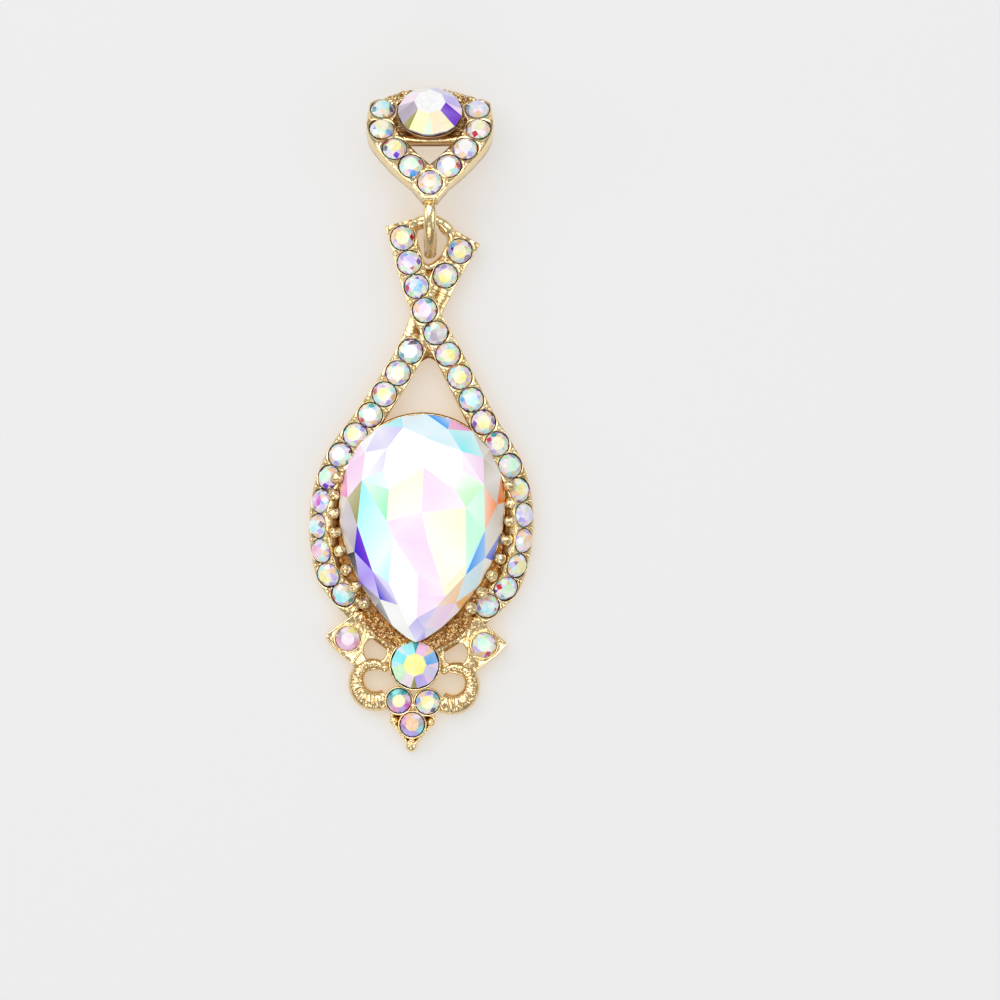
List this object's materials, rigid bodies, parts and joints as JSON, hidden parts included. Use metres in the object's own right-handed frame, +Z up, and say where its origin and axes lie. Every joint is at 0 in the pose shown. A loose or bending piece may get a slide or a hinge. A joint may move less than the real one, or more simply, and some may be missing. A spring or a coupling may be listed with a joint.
{
  "type": "teardrop earring",
  "caption": "Gold-toned drop earring with crossing crystal-set ribbons round a large pear-cut crystal, hung by a loop from a stone-set stud.",
  "frame": {"origin": "middle of the base, on the surface that the earring lies on, under the middle of its bounding box", "axes": "+Z up from the surface, +Y along the earring from the drop's tip to the stud, +X to the right when the stones face the viewer"},
  "size_m": [0.025, 0.0744, 0.0105],
  "materials": {
    "gold": "polished",
    "crystal": "polished"
  },
  "bodies": {
    "root": {"drop_frame": "gold", "stud_frame": "gold", "ear_post": "gold", "pear_stone": "crystal", "accent_stone": "crystal", "leaf_stone_left": "crystal", "leaf_stone_right": "crystal", "cluster_stone_left": "crystal", "cluster_stone_right": "crystal", "cluster_stone_low": "crystal", "solitaire_stone": "crystal", "stud_stone_bottom": "crystal", "stud_stone_low_left": "crystal", "stud_stone_low_right": "crystal", "stud_stone_lower_left": "crystal", "stud_stone_lower_right": "crystal", "stud_stone_mid_left": "crystal", "stud_stone_mid_right": "crystal", "stud_stone_top_left": "crystal", "stud_stone_top_right": "crystal"}
  },
  "joints": []
}
